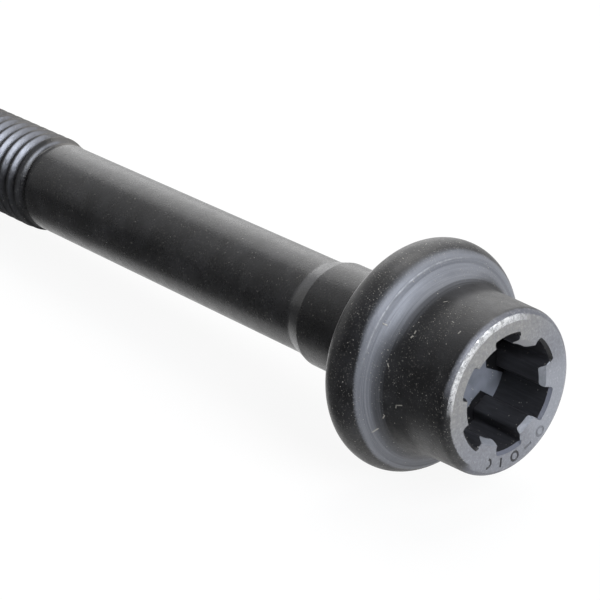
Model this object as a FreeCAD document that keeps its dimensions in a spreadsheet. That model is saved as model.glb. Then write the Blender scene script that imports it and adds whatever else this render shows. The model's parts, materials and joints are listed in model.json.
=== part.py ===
import FreeCAD, Part
import math
import os
import Sketcher

# Cylinder head bolt, one piece of steel, lying as it comes to rest on a flat surface.
#
# The bolt's own axes: the origin is the centre of the bearing face under the flange, +X runs along
# the axis out of the head, and the shank and thread point along -X. The placement then tips the
# bolt about Y until the bead of the flange and the end of the thread touch the same level surface.
# Lengths are in millimetres and angles in degrees.

SIZES = (
    # Head: a plain cylinder with a forged draft and a rounded rim
    ("head_height", 12.24, "bearing face to end face"),
    ("head_diameter", 15.4, "across the head at its end face, before the rim is rounded"),
    ("head_draft", 1.2, "angle by which the head widens towards the flange"),
    ("head_rim_radius", 0.85, "rounding of the rim round the end face"),
    # Flange: a round bead between a crease on the head's side and a sharp edge at the bearing face
    ("flange_diameter", 21.7, "largest diameter of the bead"),
    ("bead_radius", 2.6, "radius of the bead's section"),
    ("bead_height", 1.7, "centre of the bead's section above the bearing face"),
    ("crease_height", 3.83, "crease between bead and front face, above the bearing face"),
    ("front_face_angle", 22.0, "angle of the flange's front face from square to the axis"),
    ("cove_radius", 2.9, "hollow between head and flange"),
    ("cove_margin", 0.05, "least width of flat front face left between cove and crease"),
    ("underhead_radius", 0.6, "fillet between bearing face and pilot neck"),
    # Pilot neck, cone and shank
    ("neck_diameter", 10.2, "pilot neck under the flange"),
    ("neck_length", 9.7, "bearing face to the end of the neck"),
    ("neck_cone_length", 1.75, "cone from the neck down to the shank"),
    ("shank_diameter", 9.2, "reduced shank"),
    # Thread: the envelope of its crests, with a runout cone and a chamfered tip
    ("thread_diameter", 10.0, "outside diameter of the thread"),
    ("thread_pitch", 1.5, "pitch of the thread"),
    ("thread_length", 46.5, "thread with its runout"),
    ("bolt_length", 100.0, "bearing face to tip"),
    ("tip_chamfer_angle", 45.0, "angle of the tip's chamfer from the axis"),
    # Drive socket: slots and teeth in turn round a bore, with a lead-in cone and a flat floor
    ("socket_depth", 5.8, "end face to socket floor"),
    ("tooth_tip_diameter", 8.6, "across the tips of opposite teeth"),
    ("slot_outer_diameter", 10.85, "across the outer ends of opposite slots"),
    ("slot_width", 3.0, "slot across its outer corners"),
    ("slot_flank_angle", 8.0, "angle of each flank from the slot's middle line, narrowing inwards"),
    ("slot_count", 6, "slots round the socket"),
    ("slot_corner_radius", 0.2, "rounding in the slots' outer corners"),
    ("slot_bevel", 0.28, "bevel of 45 deg at the mouth, on the slots' outer ends"),
    ("tooth_corner_radius", 0.35, "rounding of the teeth's tip corners"),
    ("lead_in_share", 0.49, "share of the teeth's height that the lead-in cone takes at the mouth"),
    ("lead_in_depth", 0.85, "depth of the lead-in cone on the teeth"),
)

# Sizes that follow from the ones above, as formulas of the sheet
DERIVED = (
    ("thread_depth", "=5 / 8 * cos(30 deg) * thread_pitch", "crest to root"),
    ("runout_length", "=thread_pitch / 2", "runout cone from the shank up to the crests"),
    ("shank_end", "=bolt_length - thread_length", "bearing face to the start of the thread"),
    ("tip_chamfer_length", "=thread_depth / tan(tip_chamfer_angle * 1 deg)", "length of the tip's chamfer"),
    ("bead_centre_radius", "=flange_diameter / 2 - bead_radius", "axis to the centre of the bead's section"),
    ("bearing_radius", "=bead_centre_radius + sqrt(bead_radius^2 - bead_height^2)", "axis to the sharp edge"),
    ("crease_rise", "=crease_height - bead_height", "bead's centre up to the crease"),
    ("crease_radius", "=bead_centre_radius + sqrt(bead_radius^2 - crease_rise^2)", "axis to the crease"),
    ("draft_slope", "=tan(head_draft * 1 deg)", "growth of the head's radius for each mm along the axis"),
    ("front_slope", "=tan(front_face_angle * 1 deg)", "rise of the front face for each mm inwards"),
    ("drafted_radius", "=head_diameter / 2 + draft_slope * head_height", "flank run on to the bearing face"),
    ("foot_rise", "=front_slope * (crease_radius - drafted_radius)", "rise to the drafted radius"),
    ("foot_height", "=(crease_height + foot_rise) / (1 - front_slope * draft_slope)",
     "bearing face to where the head's flank meets the front face"),
    ("foot_radius", "=drafted_radius - draft_slope * foot_height", "axis to where flank and front face meet"),
    ("front_face_run", "=hypot(crease_radius - foot_radius; foot_height - crease_height)", "flank to crease"),
    ("cove_turn", "=90 deg - (front_face_angle + head_draft) * 1 deg", "turn of the outline in the cove"),
    ("cove_fit_radius", "=min(cove_radius; (front_face_run - cove_margin) / tan(cove_turn / 2))",
     "the cove's radius, as far as the front face has room for it"),
    ("lead_in_diameter", "=tooth_tip_diameter + lead_in_share * (slot_outer_diameter - tooth_tip_diameter)",
     "mouth of the lead-in cone"),
    ("slot_turn", "=2 * asin(slot_width / slot_outer_diameter)", "angle that a slot spans at its outer end"),
    ("rest_base", "=bolt_length - tip_chamfer_length + bead_height", "bead's centre to the last full crest"),
    ("rest_drop", "=bead_centre_radius - thread_diameter / 2", "bead's centre down to the crests"),
    ("rest_tilt", "=atan(rest_drop / rest_base) + asin(bead_radius / hypot(rest_base; rest_drop))",
     "fall of the axis towards the tip at rest"),
)

ORIGIN = (-1, 1)
AXIS_LINE = -1
UPRIGHT_LINE = -2
START = 1
END = 2
CENTRE = 3
REST_AXIS = FreeCAD.Vector(0, -1, 0)
SKETCH_NORMAL = FreeCAD.Vector(0, 0, 1)
CLOSE = 1e-6


def point(x, y):
    return FreeCAD.Vector(x, y, 0)


def make_sheet(doc):
    """Puts every size in the sheet, one row each: its name, its value under that name, and what it is."""
    sheet = doc.addObject("Spreadsheet::Sheet", "sizes")
    for row, (name, value, meaning) in enumerate(SIZES + DERIVED, start=1):
        sheet.set(f"A{row}", name)
        sheet.set(f"B{row}", str(value))
        sheet.set(f"C{row}", meaning)
        sheet.setAlias(f"B{row}", name)
    doc.recompute()
    return sheet


def new_sketch(body, name, role):
    """A sketch on one of the body's own origin planes."""
    sketch = body.newObject("Sketcher::SketchObject", name)
    plane = next(feature for feature in body.Origin.OriginFeatures if feature.Role == role)
    sketch.AttachmentSupport = [(plane, "")]
    sketch.MapMode = "FlatFace"
    return sketch


def face_sketch(body, name):
    """A sketch on the head's end face, whose +y is the bolt's +Z."""
    sketch = new_sketch(body, name, "YZ_Plane")
    sketch.setExpression("AttachmentOffset.Base.z", "sizes.head_height")
    return sketch


def limit(sketch, kind, *elements):
    return sketch.addConstraint(Sketcher.Constraint(kind, *elements))


def dimension(sketch, name, kind, elements, formula):
    """A named dimension that follows a formula of the sheet's sizes."""
    value = sketch.evalExpression(formula)
    if kind == "Angle":
        value = value.getValueAs("rad")
    index = limit(sketch, kind, *elements, float(value))
    sketch.renameConstraint(index, name)
    sketch.setExpression(f"Constraints.{name}", formula)


def must_change(name, before, after, sign):
    """Stops if a feature that should add (+1) or remove (-1) material didn't: such a miss is silent."""
    if sign * (after.Shape.Volume - before.Shape.Volume) <= 0:
        raise RuntimeError(f"{name} changed nothing")


def outline_corners(size):
    """Corners of the half section, from the axis at the end face round to the axis at the tip, as (x, r)."""
    neck_r = size.neck_diameter / 2
    shank_r = size.shank_diameter / 2
    crest_r = size.thread_diameter / 2
    return {
        "face_centre": point(size.head_height, 0),
        "face_rim": point(size.head_height, size.head_diameter / 2),
        "head_foot": point(size.foot_height, size.foot_radius),
        "crease": point(size.crease_height, size.crease_radius),
        "bearing_rim": point(0, size.bearing_radius),
        "neck_root": point(0, neck_r),
        "neck_end": point(-size.neck_length, neck_r),
        "cone_end": point(-size.neck_length - size.neck_cone_length, shank_r),
        "shank_end": point(-size.shank_end, shank_r),
        "runout_end": point(-size.shank_end - size.runout_length, crest_r),
        "chamfer_start": point(-size.bolt_length + size.tip_chamfer_length, crest_r),
        "tip_rim": point(-size.bolt_length, crest_r - size.thread_depth),
        "tip_centre": point(-size.bolt_length, 0),
    }


def draw_outline(body, size):
    """Half section of the blank: straight lines from corner to corner, and an arc for the flange's bead."""
    sketch = new_sketch(body, "outline", "XZ_Plane")
    corners = outline_corners(size)
    names = list(corners)
    bead = Part.Circle(point(size.bead_height, size.bead_centre_radius), SKETCH_NORMAL, size.bead_radius)
    # each side of the outline goes by the name of the corner it starts from
    side = {}
    for start, end in zip(names, names[1:] + names[:1]):
        edge = Part.LineSegment(corners[start], corners[end])
        if start == "crease":
            edge = Part.ArcOfCircle(bead, bead.parameter(corners[start]), bead.parameter(corners[end]))
        side[start] = sketch.addGeometry(edge)
    for start, end in zip(names, names[1:] + names[:1]):
        limit(sketch, "Coincident", side[start], END, side[end], START)
    for name in ("face_centre", "bearing_rim", "tip_rim"):
        limit(sketch, "Vertical", side[name])
    for name in ("neck_root", "cone_end", "runout_end"):
        limit(sketch, "Horizontal", side[name])
    for name in ("face_centre", "tip_centre"):
        limit(sketch, "PointOnObject", side[name], START, AXIS_LINE)
    limit(sketch, "PointOnObject", side["neck_root"], START, UPRIGHT_LINE)

    def start_of(name):
        return side[name], START

    chamfer_start = start_of("chamfer_start")
    for name, kind, elements, formula in (
        ("head_height", "DistanceX", (*ORIGIN, *start_of("face_centre")), "sizes.head_height"),
        ("head_radius", "DistanceY", (*ORIGIN, *start_of("face_rim")), "sizes.head_diameter / 2"),
        ("head_draft", "Angle", (side["face_rim"],), "180 deg - sizes.head_draft * 1 deg"),
        ("front_face", "Angle", (side["head_foot"],), "90 deg + sizes.front_face_angle * 1 deg"),
        ("crease_height", "DistanceX", (*ORIGIN, *start_of("crease")), "sizes.crease_height"),
        ("bead_radius", "Radius", (side["crease"],), "sizes.bead_radius"),
        ("bead_height", "DistanceX", (*ORIGIN, side["crease"], CENTRE), "sizes.bead_height"),
        ("bead_reach", "DistanceY", (*ORIGIN, side["crease"], CENTRE), "sizes.bead_centre_radius"),
        ("neck_radius", "DistanceY", (*ORIGIN, *start_of("neck_root")), "sizes.neck_diameter / 2"),
        ("neck_length", "DistanceX", (*start_of("neck_end"), *ORIGIN), "sizes.neck_length"),
        ("cone", "DistanceX", (*start_of("cone_end"), *start_of("neck_end")), "sizes.neck_cone_length"),
        ("shank_radius", "DistanceY", (*ORIGIN, *start_of("cone_end")), "sizes.shank_diameter / 2"),
        ("shank_end", "DistanceX", (*start_of("shank_end"), *ORIGIN), "sizes.shank_end"),
        ("runout", "DistanceX", (*start_of("runout_end"), *start_of("shank_end")), "sizes.runout_length"),
        ("crest_radius", "DistanceY", (*ORIGIN, *start_of("runout_end")), "sizes.thread_diameter / 2"),
        ("chamfer_length", "DistanceX", (*start_of("tip_rim"), *chamfer_start), "sizes.tip_chamfer_length"),
        ("chamfer_depth", "DistanceY", (*start_of("tip_rim"), *chamfer_start), "sizes.thread_depth"),
        ("bolt_length", "DistanceX", (*start_of("tip_centre"), *ORIGIN), "sizes.bolt_length"),
    ):
        dimension(sketch, name, kind, elements, formula)
    return sketch, corners


def ring_edge(shape, corner):
    """Name of the round edge that the outline's corner makes when it turns about the axis."""
    for number, edge in enumerate(shape.Edges, start=1):
        if not isinstance(edge.Curve, Part.Circle):
            continue
        centre = FreeCAD.Vector(corner.x, 0, 0)
        if edge.Curve.Center.isEqual(centre, CLOSE) and abs(edge.Curve.Radius - corner.y) < CLOSE:
            return f"Edge{number}"
    raise RuntimeError(f"no round edge at {corner}")


def add_fillet(body, doc, name, base, edges, radius):
    fillet = body.newObject("PartDesign::Fillet", name)
    fillet.Base = (base, edges)
    fillet.setExpression("Radius", f"sizes.{radius}")
    doc.recompute()
    return fillet


def add_blank(body, doc, size):
    """The bolt as it is forged and turned, before the socket is punched."""
    sketch, corners = draw_outline(body, size)
    blank = body.newObject("PartDesign::Revolution", "turned_blank")
    blank.Profile = sketch
    blank.ReferenceAxis = (sketch, ["H_Axis"])
    blank.Angle = 360
    doc.recompute()
    for name, corner, radius in (
        ("cove", "head_foot", "cove_fit_radius"),
        ("head_rim", "face_rim", "head_rim_radius"),
        ("underhead_fillet", "neck_root", "underhead_radius"),
    ):
        blank = add_fillet(body, doc, name, blank, [ring_edge(blank.Shape, corners[corner])], radius)
    return blank


def add_bore(body, doc, size):
    """Bore of the socket, out to the tips of its teeth."""
    sketch = face_sketch(body, "bore_outline")
    sketch.addGeometry(Part.Circle(point(0, 0), SKETCH_NORMAL, size.tooth_tip_diameter / 2))
    limit(sketch, "Coincident", 0, CENTRE, *ORIGIN)
    dimension(sketch, "tip_diameter", "Diameter", (0,), "sizes.tooth_tip_diameter")
    bore = body.newObject("PartDesign::Pocket", "socket_bore")
    bore.Profile = sketch
    bore.setExpression("Length", "sizes.socket_depth")
    doc.recompute()
    return bore


def draw_slot(body, size):
    """The topmost slot: an arc at its outer end, flanks that close in, and a side inside the bore."""
    sketch = face_sketch(body, "slot_outline")
    outer_r = size.slot_outer_diameter / 2
    inner_y = size.tooth_tip_diameter / 4
    half = size.slot_width / 2
    outer_y = math.sqrt(outer_r**2 - half**2)
    inner_half = half - (outer_y - inner_y) * math.tan(math.radians(size.slot_flank_angle))
    left_in, left_out = point(-inner_half, inner_y), point(-half, outer_y)
    right_in, right_out = point(inner_half, inner_y), point(half, outer_y)
    rim = Part.Circle(point(0, 0), SKETCH_NORMAL, outer_r)
    left = sketch.addGeometry(Part.LineSegment(left_in, left_out))
    end = sketch.addGeometry(Part.ArcOfCircle(rim, rim.parameter(right_out), rim.parameter(left_out)))
    right = sketch.addGeometry(Part.LineSegment(right_out, right_in))
    inner = sketch.addGeometry(Part.LineSegment(right_in, left_in))
    limit(sketch, "Coincident", left, END, end, END)
    limit(sketch, "Coincident", end, START, right, START)
    limit(sketch, "Coincident", right, END, inner, START)
    limit(sketch, "Coincident", inner, END, left, START)
    limit(sketch, "Coincident", end, CENTRE, *ORIGIN)
    limit(sketch, "Symmetric", end, START, end, END, UPRIGHT_LINE)
    limit(sketch, "Symmetric", inner, START, inner, END, UPRIGHT_LINE)
    dimension(sketch, "outer_radius", "Radius", (end,), "sizes.slot_outer_diameter / 2")
    dimension(sketch, "width", "DistanceX", (left, END, right, START), "sizes.slot_width")
    dimension(sketch, "flank", "Angle", (left,), "90 deg + sizes.slot_flank_angle * 1 deg")
    dimension(sketch, "inner_side", "DistanceY", (*ORIGIN, inner, START), "sizes.tooth_tip_diameter / 4")
    return sketch


def add_ring(body, doc, name, feature, axis):
    """The feature once for each slot, evenly about the axis."""
    ring = body.newObject("PartDesign::PolarPattern", name)
    ring.Originals = [feature]
    ring.Axis = axis
    ring.Angle = 360
    ring.setExpression("Occurrences", "sizes.slot_count")
    body.Tip = ring
    doc.recompute()
    return ring


def add_slots(body, doc, size):
    """One slot, and the ring of all of them round the bore."""
    slot = body.newObject("PartDesign::Pocket", "slot")
    slot.Profile = draw_slot(body, size)
    slot.setExpression("Length", "sizes.socket_depth")
    doc.recompute()
    return slot, add_ring(body, doc, "slots", slot, (slot.Profile[0], ["N_Axis"]))


def axial_edges(shape, radius):
    """Names of the straight edges along the axis at this distance from it."""
    names = []
    for number, edge in enumerate(shape.Edges, start=1):
        ends = [vertex.Point for vertex in edge.Vertexes]
        if isinstance(edge.Curve, Part.Line) and abs(edge.Curve.Direction.x) > 1 - CLOSE:
            if all(abs(math.hypot(end.y, end.z) - radius) < CLOSE for end in ends):
                names.append(f"Edge{number}")
    return names


def add_bevels(body, doc, size):
    """Bevel at the mouth of the topmost slot's outer end, turned about the axis, and the ring of all of them.

    Its section is cut twice as large as the bevel, and half of that lies inside the slot.
    """
    sketch = new_sketch(body, "slot_bevel_outline", "XZ_Plane")
    top_x = size.head_height
    inner_r = size.slot_outer_diameter / 2 - size.slot_bevel
    leg = 2 * size.slot_bevel
    corners = (point(top_x, inner_r), point(top_x, inner_r + leg), point(top_x - leg, inner_r))
    for start, end in zip(corners, corners[1:] + corners[:1]):
        sketch.addGeometry(Part.LineSegment(start, end))
    mouth, slope, inner = range(len(corners))
    for line, following in ((mouth, slope), (slope, inner), (inner, mouth)):
        limit(sketch, "Coincident", line, END, following, START)
    limit(sketch, "Vertical", mouth)
    limit(sketch, "Horizontal", inner)
    dimension(sketch, "mouth_place", "DistanceX", (*ORIGIN, mouth, START), "sizes.head_height")
    dimension(sketch, "inner_radius", "DistanceY", (*ORIGIN, mouth, START),
              "sizes.slot_outer_diameter / 2 - sizes.slot_bevel")
    dimension(sketch, "width", "DistanceY", (mouth, START, mouth, END), "2 * sizes.slot_bevel")
    dimension(sketch, "depth", "DistanceX", (inner, START, inner, END), "2 * sizes.slot_bevel")
    bevel = body.newObject("PartDesign::Groove", "slot_bevel")
    bevel.Profile = sketch
    bevel.ReferenceAxis = (sketch, ["H_Axis"])
    bevel.Midplane = True
    bevel.setExpression("Angle", "sizes.slot_turn")
    doc.recompute()
    return bevel, add_ring(body, doc, "slot_bevels", bevel, (sketch, ["H_Axis"]))


def add_lead_in(body, doc, size):
    """Cone that chamfers the teeth at the mouth. It runs on to twice its depth, inside the bore."""
    sketch = new_sketch(body, "lead_in_outline", "XZ_Plane")
    mouth_r = size.lead_in_diameter / 2
    deep_x = size.head_height - 2 * size.lead_in_depth
    deep_r = size.tooth_tip_diameter - mouth_r
    top_x = size.head_height
    corners = (point(top_x, 0), point(top_x, mouth_r), point(deep_x, deep_r), point(deep_x, 0))
    for start, end in zip(corners, corners[1:] + corners[:1]):
        sketch.addGeometry(Part.LineSegment(start, end))
    mouth, cone, deep, axis = range(len(corners))
    for line, following in ((mouth, cone), (cone, deep), (deep, axis), (axis, mouth)):
        limit(sketch, "Coincident", line, END, following, START)
    limit(sketch, "Vertical", mouth)
    limit(sketch, "Vertical", deep)
    limit(sketch, "PointOnObject", mouth, START, AXIS_LINE)
    limit(sketch, "PointOnObject", axis, START, AXIS_LINE)
    dimension(sketch, "mouth_place", "DistanceX", (*ORIGIN, mouth, START), "sizes.head_height")
    dimension(sketch, "mouth_radius", "DistanceY", (*ORIGIN, cone, START), "sizes.lead_in_diameter / 2")
    dimension(sketch, "cone_depth", "DistanceX", (deep, START, cone, START), "2 * sizes.lead_in_depth")
    dimension(sketch, "deep_radius", "DistanceY", (*ORIGIN, deep, START),
              "sizes.tooth_tip_diameter - sizes.lead_in_diameter / 2")
    cone = body.newObject("PartDesign::Groove", "lead_in")
    cone.Profile = sketch
    cone.ReferenceAxis = (sketch, ["H_Axis"])
    cone.Angle = 360
    doc.recompute()
    return cone


def add_head_bolt(doc, size):
    body = doc.addObject("PartDesign::Body", "head_bolt")
    body.Label = "head_bolt"
    blank = add_blank(body, doc, size)
    bore = add_bore(body, doc, size)
    must_change("socket_bore", blank, bore, -1)
    slot, ring = add_slots(body, doc, size)
    must_change("slot", bore, slot, -1)
    must_change("slots", slot, ring, -1)
    corners = axial_edges(ring.Shape, size.slot_outer_diameter / 2)
    rounded = add_fillet(body, doc, "slot_corners", ring, corners, "slot_corner_radius")
    must_change("slot_corners", ring, rounded, 1)
    corners = axial_edges(rounded.Shape, size.tooth_tip_diameter / 2)
    eased = add_fillet(body, doc, "tooth_corners", rounded, corners, "tooth_corner_radius")
    must_change("tooth_corners", rounded, eased, -1)
    lead_in = add_lead_in(body, doc, size)
    must_change("lead_in", eased, lead_in, -1)
    bevel, bevels = add_bevels(body, doc, size)
    must_change("slot_bevel", lead_in, bevel, -1)
    must_change("slot_bevels", bevel, bevels, -1)
    body.Tip = bevels
    # the tip of the bolt falls below level as the axis turns about Y
    body.Placement.Rotation = FreeCAD.Rotation(REST_AXIS, size.rest_tilt)
    body.setExpression("Placement.Rotation.Angle", "sizes.rest_tilt")
    doc.recompute()
    return body


def check_document(doc):
    for item in doc.Objects:
        if "Invalid" in item.State or "Error" in item.State:
            raise RuntimeError(f"{item.Name} failed: {item.State}")


def write_part(body):
    if body.Shape.isNull() or not body.Shape.isValid():
        raise RuntimeError(f"{body.Label} has no valid shape")
    body.Shape.exportStep(f"parts/{body.Label}.step")
    box = body.Shape.optimalBoundingBox(False)
    print(f"{body.Label}: {body.Shape.Volume:.1f} mm3, {len(body.Shape.Faces)} faces, {box}")


def main():
    os.makedirs("parts", exist_ok=True)
    doc = FreeCAD.newDocument("cylinder_head_bolt")
    size = make_sheet(doc)
    body = add_head_bolt(doc, size)
    check_document(doc)
    write_part(body)


main()
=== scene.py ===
import functools
import json
import math

import bmesh
import bpy
import numpy as np
from mathutils import Matrix, Vector


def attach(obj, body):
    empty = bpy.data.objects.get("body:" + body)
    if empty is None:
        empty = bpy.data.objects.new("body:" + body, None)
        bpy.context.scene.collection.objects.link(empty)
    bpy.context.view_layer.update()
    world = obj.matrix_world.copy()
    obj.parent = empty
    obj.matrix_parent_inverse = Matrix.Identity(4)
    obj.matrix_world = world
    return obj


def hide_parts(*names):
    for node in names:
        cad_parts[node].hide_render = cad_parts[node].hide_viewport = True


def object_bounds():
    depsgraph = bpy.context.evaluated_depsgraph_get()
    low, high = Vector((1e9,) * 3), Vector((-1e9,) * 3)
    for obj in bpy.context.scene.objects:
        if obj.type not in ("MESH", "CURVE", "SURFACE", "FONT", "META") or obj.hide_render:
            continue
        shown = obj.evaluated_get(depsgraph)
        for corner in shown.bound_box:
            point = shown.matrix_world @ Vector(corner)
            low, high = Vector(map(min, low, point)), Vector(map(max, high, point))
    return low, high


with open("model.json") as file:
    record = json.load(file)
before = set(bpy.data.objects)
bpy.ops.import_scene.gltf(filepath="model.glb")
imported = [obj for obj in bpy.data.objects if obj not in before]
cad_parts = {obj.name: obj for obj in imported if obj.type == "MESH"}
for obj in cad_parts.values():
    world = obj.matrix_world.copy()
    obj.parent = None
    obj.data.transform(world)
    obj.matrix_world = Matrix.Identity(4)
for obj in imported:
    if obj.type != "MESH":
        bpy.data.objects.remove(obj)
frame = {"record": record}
cad_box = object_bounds()

# Cylinder head bolt. The mesh is worked out in the bolt's own axes and in millimetres: the origin is
# the centre of the bearing face, +X points out of the head, and angles run from +Z towards +Y.
# The bolt's place at rest then comes from the frame.
MM = 0.001

# Head
HEAD_HEIGHT = 12.24
HEAD_RADIUS = 7.7
HEAD_DRAFT = 1.2
HEAD_RIM_RADIUS = 0.85
# Flange
BEAD_RADIUS = 2.6
BEAD_HEIGHT = 1.7
BEAD_CENTRE_RADIUS = 10.85 - BEAD_RADIUS
CREASE_HEIGHT = 3.83
FRONT_FACE_ANGLE = 22.0
COVE_RADIUS = 2.9
UNDERHEAD_RADIUS = 0.6
REAR_EDGE_RADIUS = 0.09
# Neck, cone and shank
NECK_RADIUS = 5.1
NECK_LENGTH = 9.7
CONE_LENGTH = 1.75
NECK_EDGE_RADIUS = 0.4
CONE_BLEND_RADIUS = 2.2
SHANK_RADIUS = 4.6
# Thread
THREAD_RADIUS = 5.0
PITCH = 1.5
THREAD_DEPTH = 5 / 8 * math.cos(math.radians(30)) * PITCH
THREAD_LENGTH = 46.5
THREAD_START_ANGLE = 110.0
RUNOUT_LEAD = 1.2
GROOVE_RUNOUT = 1.0
CREST_RUNOUT = 2.1
BOLT_LENGTH = 100.0
THREAD_START = THREAD_LENGTH - BOLT_LENGTH + RUNOUT_LEAD
# Socket
SOCKET_DEPTH = 5.8
TOOTH_TIP_RADIUS = 4.3
SLOT_OUTER_RADIUS = 5.425
SLOT_HALF_WIDTH = 1.5
SLOT_FLANK_ANGLE = 8.0
SLOT_COUNT = 6
SLOT_CORNER_RADIUS = 0.2
TOOTH_CORNER_RADIUS = 0.35
SLOT_BEVEL = 0.28
LEAD_IN_RADIUS = 4.85
LEAD_IN_DEPTH = 0.85
LEAD_IN_SHIFT = 0.25
LEAD_IN_SHIFT_ANGLE = -46.0
MOUTH_EASE = 0.07
# Punched marks on the end face
MARKS = ("ring", "along rim", "ring", "across rim", "half ring")
MARK_FIRST_ANGLE = 143.0
MARK_STEP_ANGLE = 15.3
MARK_PLACE_RADIUS = 6.40
MARK_RING_RADIUS = 0.42
MARK_STROKE_LENGTH = 0.9
MARK_TOOL_RADIUS = 0.13
MARK_TOOL_LIFT = 0.03

# Mesh: the columns of half a slot's sector, from the slot's middle line to the tooth's
SLOT_END_STEPS = 4
SLOT_CORNER_STEPS = 3
FLANK_STEPS = 3
TOOTH_CORNER_STEPS = 4
TOOTH_TIP_STEPS = 2
HALF_SECTOR = SLOT_END_STEPS + SLOT_CORNER_STEPS + FLANK_STEPS + TOOTH_CORNER_STEPS + TOOTH_TIP_STEPS
COLUMNS = 2 * HALF_SECTOR * SLOT_COUNT
# Mesh: the rows of each curve of the half section, and the longest row between them
HEAD_RIM_STEPS = 9
COVE_STEPS = 16
BEAD_STEPS = 28
REAR_EDGE_STEPS = 3
UNDERHEAD_STEPS = 6
NECK_EDGE_STEPS = 3
CONE_BLEND_STEPS = 4
LONGEST_ROW = 2.5
# Mesh: the rows up the socket's walls, and those on its floor and on the end face as shares of the way out
WALL_STEPS = 7
FLOOR_ROWS = (0.35, 0.7, 0.93)
FACE_ROWS = (0.35, 0.7)
FACE_RING_RADIUS = HEAD_RADIUS - HEAD_RIM_RADIUS - 0.35
# Mesh: the marks' tools, how close points are joined and which edges stay sharp
MARK_RING_STEPS = 24
MARK_TOOL_SIDES = 10
JOINED_WITHIN = 0.002
SHARP_ANGLE = 32.0

# Material zones of the mesh
SOCKET = 1
LEAD_IN = 2

# Photograph's camera
CAMERA_PLACE = (141.22, -136.90, 110.57)
CAMERA_HEADING = 138.77
CAMERA_ELEVATION = 28.26
CAMERA_LENS = 151.41
SENSOR_WIDTH = 36.0
CAMERA_CLIP = (10.0, 20000.0)


def unit(angle):
    """Direction (x, r) at this angle from the radius towards +X, in degrees."""
    return np.array([math.sin(math.radians(angle)), math.cos(math.radians(angle))])


def rest_axes():
    """The bolt's own axes in the row frame, from two mounts on its axis."""
    mounts = {mount["name"]: mount for mount in frame["record"]["mounts"]}
    bottom = Vector(mounts["bearing_face"]["pos_m"])
    along = (Vector(mounts["drive_socket"]["pos_m"]) - bottom).normalized()
    across = Vector((0, 0, 1)).cross(along).normalized()
    up = along.cross(across)
    rotated = Matrix((along, across, up)).transposed()
    return Matrix.Translation(bottom) @ rotated.to_4x4()


def round_corner(before, corner, after, radius, steps):
    """Arc of this radius that replaces a path's corner."""
    back = (before - corner) / np.linalg.norm(before - corner)
    on = (after - corner) / np.linalg.norm(after - corner)
    half = math.acos(float(np.clip(back @ on, -1, 1))) / 2
    middle = (back + on) / np.linalg.norm(back + on)
    centre = corner + middle * radius / math.sin(half)
    start = corner + back * radius / math.tan(half) - centre
    end = corner + on * radius / math.tan(half) - centre
    turn = math.acos(float(np.clip(start @ end / radius**2, -1, 1)))
    arc = []
    for step in range(steps + 1):
        share = step / steps
        spot = (math.sin((1 - share) * turn) * start + math.sin(share * turn) * end) / math.sin(turn)
        arc.append(centre + spot)
    return arc


def rounded_path(corners):
    """Points of a path given as (x, r, radius, steps) corners."""
    points = [np.array(corner[:2], float) for corner in corners]
    path = [points[0]]
    for index in range(1, len(corners) - 1):
        radius, steps = corners[index][2:]
        if radius:
            path += round_corner(points[index - 1], points[index], points[index + 1], radius, steps)
        else:
            path.append(points[index])
    path.append(points[-1])
    return path


def subdivided(path, longest):
    """The path with points added so that no run is longer than this."""
    full = [path[0]]
    for start, end in zip(path, path[1:]):
        steps = math.ceil(np.linalg.norm(end - start) / longest)
        full += [start + (end - start) * step / steps for step in range(1, steps + 1)]
    return full


def body_path():
    """Half section from the end face to the end of the shank, as (x, r) points."""
    draft = math.tan(math.radians(HEAD_DRAFT))
    slope = math.tan(math.radians(FRONT_FACE_ANGLE))
    crease_angle = math.degrees(math.asin((CREASE_HEIGHT - BEAD_HEIGHT) / BEAD_RADIUS))
    rear_angle = -math.degrees(math.asin(BEAD_HEIGHT / BEAD_RADIUS))
    bead_centre = np.array([BEAD_HEIGHT, BEAD_CENTRE_RADIUS])
    crease = bead_centre + BEAD_RADIUS * unit(crease_angle)
    foot_x = CREASE_HEIGHT + slope * (crease[1] - HEAD_RADIUS - draft * HEAD_HEIGHT)
    foot_x /= 1 - slope * draft
    foot_r = HEAD_RADIUS + draft * (HEAD_HEIGHT - foot_x)
    corners = [
        (HEAD_HEIGHT, FACE_RING_RADIUS, 0, 0),
        (HEAD_HEIGHT, HEAD_RADIUS, HEAD_RIM_RADIUS, HEAD_RIM_STEPS),
        (foot_x, foot_r, COVE_RADIUS, COVE_STEPS),
    ]
    for angle in np.linspace(crease_angle, rear_angle, BEAD_STEPS + 1)[:-1]:
        corners.append((*(bead_centre + BEAD_RADIUS * unit(angle)), 0, 0))
    cone_end = NECK_LENGTH + CONE_LENGTH
    corners += [
        (0, (bead_centre + BEAD_RADIUS * unit(rear_angle))[1], REAR_EDGE_RADIUS, REAR_EDGE_STEPS),
        (0, NECK_RADIUS, UNDERHEAD_RADIUS, UNDERHEAD_STEPS),
        (-NECK_LENGTH, NECK_RADIUS, NECK_EDGE_RADIUS, NECK_EDGE_STEPS),
        (-cone_end, SHANK_RADIUS, CONE_BLEND_RADIUS, CONE_BLEND_STEPS),
        (THREAD_START, SHANK_RADIUS, 0, 0),
    ]
    return subdivided(rounded_path(corners), LONGEST_ROW)


def turned(x, radius):
    """A ring of the turned surfaces, with its columns spread evenly."""
    angle = np.arange(COLUMNS) * 2 * math.pi / COLUMNS
    return np.stack([np.full(COLUMNS, x), radius * np.sin(angle), radius * np.cos(angle)], axis=1)


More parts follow.
